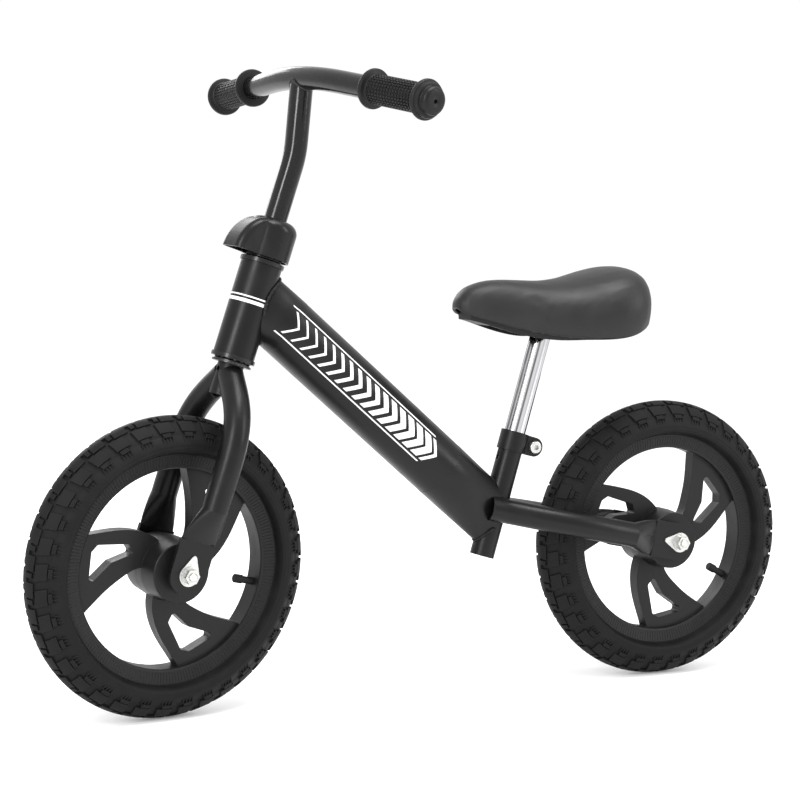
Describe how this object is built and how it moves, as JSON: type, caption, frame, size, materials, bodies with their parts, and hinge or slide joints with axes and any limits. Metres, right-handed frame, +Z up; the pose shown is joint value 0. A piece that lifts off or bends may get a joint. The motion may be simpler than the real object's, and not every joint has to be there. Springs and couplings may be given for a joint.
{
  "type": "balance bike",
  "caption": "Small pedal-free balance bike with a fat down tube, spoked plastic wheels, air tyres, a cushioned saddle and a sloping handlebar with rubber grips.",
  "frame": {"origin": "on the ground, midway between the two axles, in the frame's middle plane", "axes": "+X forward to the front wheel, +Y to the rider's left, +Z up"},
  "size_m": [0.8377, 0.3881, 0.6224],
  "materials": {
    "frame_paint": "satin black powder coat",
    "bar_paint": "gloss black paint",
    "post_chrome": "polished chrome plate",
    "cup_steel": "semi-gloss black",
    "zinc": "bright zinc plate",
    "bearing_steel": "ground steel",
    "rim_plastic": "black moulded plastic",
    "cover_plastic": "black moulded plastic",
    "saddle_plastic": "black moulded plastic",
    "saddle_skin": "soft matte dark grey skin over foam",
    "grip_rubber": "soft black rubber",
    "tyre_rubber": "dark grey rubber",
    "tube_rubber": "black rubber"
  },
  "bodies": {
    "frame": {"down_tube": "frame_paint", "head_tube": "frame_paint", "seat_tube": "frame_paint", "chain_stay_left": "frame_paint", "chain_stay_right": "frame_paint", "headset_cup_lower": "cup_steel", "headset_cup_upper": "cup_steel", "seat_clamp_collar": "frame_paint", "seat_clamp_bolt": "zinc", "seat_clamp_nut": "zinc", "rear_axle": "zinc", "rear_axle_nuts": "zinc", "rear_tab_washers": "zinc", "rear_axle_spacers": "bearing_steel", "rear_bearing_inner_rings": "bearing_steel", "rear_axle_sleeve": "bearing_steel"},
    "fork": {"steerer_tube": "frame_paint", "fork_leg_left": "frame_paint", "fork_leg_right": "frame_paint", "crown_race": "bearing_steel", "headset_nut": "cup_steel", "headset_balls_lower": "bearing_steel", "headset_balls_upper": "bearing_steel", "stem_clamp_collar": "frame_paint", "stem_clamp_bolt": "zinc", "stem_clamp_nut": "zinc", "clamp_cover": "cover_plastic", "front_axle": "zinc", "front_axle_nuts": "zinc", "front_tab_washers": "zinc", "front_axle_spacers": "bearing_steel", "front_bearing_inner_rings": "bearing_steel", "front_axle_sleeve": "bearing_steel"},
    "handlebar": {"handlebar_post": "bar_paint", "handlebar_crossbar": "bar_paint", "grip_left": "grip_rubber", "grip_right": "grip_rubber"},
    "seat": {"saddle_cushion": "saddle_skin", "saddle_base": "saddle_plastic", "seat_post": "post_chrome", "seat_post_plate": "zinc", "saddle_screws": "zinc"},
    "front_wheel": {"front_wheel_rim": "rim_plastic", "front_wheel_tyre": "tyre_rubber", "front_wheel_air_tube": "tube_rubber", "front_wheel_valve": "tube_rubber", "front_wheel_bearing_outer_rings": "bearing_steel", "front_wheel_bearing_balls": "bearing_steel", "front_wheel_hub_seals": "rim_plastic"},
    "rear_wheel": {"rear_wheel_rim": "rim_plastic", "rear_wheel_tyre": "tyre_rubber", "rear_wheel_air_tube": "tube_rubber", "rear_wheel_valve": "tube_rubber", "rear_wheel_bearing_outer_rings": "bearing_steel", "rear_wheel_bearing_balls": "bearing_steel", "rear_wheel_hub_seals": "rim_plastic"}
  },
  "joints": [
    {"name": "steering", "type": "hinge", "parent": "frame", "child": "fork", "pos_m": [0.2724, 0, 0.14433], "axis": [-0.304, 0, 0.9527], "continuous": true},
    {"name": "handlebar_height", "type": "slide", "parent": "fork", "child": "handlebar", "axis": [-0.304, 0, 0.9527], "range_m": [-0.04, 0.035]},
    {"name": "front_wheel_spin", "type": "hinge", "parent": "fork", "child": "front_wheel", "pos_m": [0.27448, 0.00032, 0.14499], "axis": [-0.1392, 0.9893, -0.0444], "continuous": true},
    {"name": "rear_wheel_spin", "type": "hinge", "parent": "frame", "child": "rear_wheel", "pos_m": [-0.2745, 0, 0.145], "axis": [0, 1, 0], "continuous": true},
    {"name": "seat_height", "type": "slide", "parent": "frame", "child": "seat", "axis": [-0.2756, 0, 0.9613], "range_m": [-0.05, 0.03]}
  ]
}
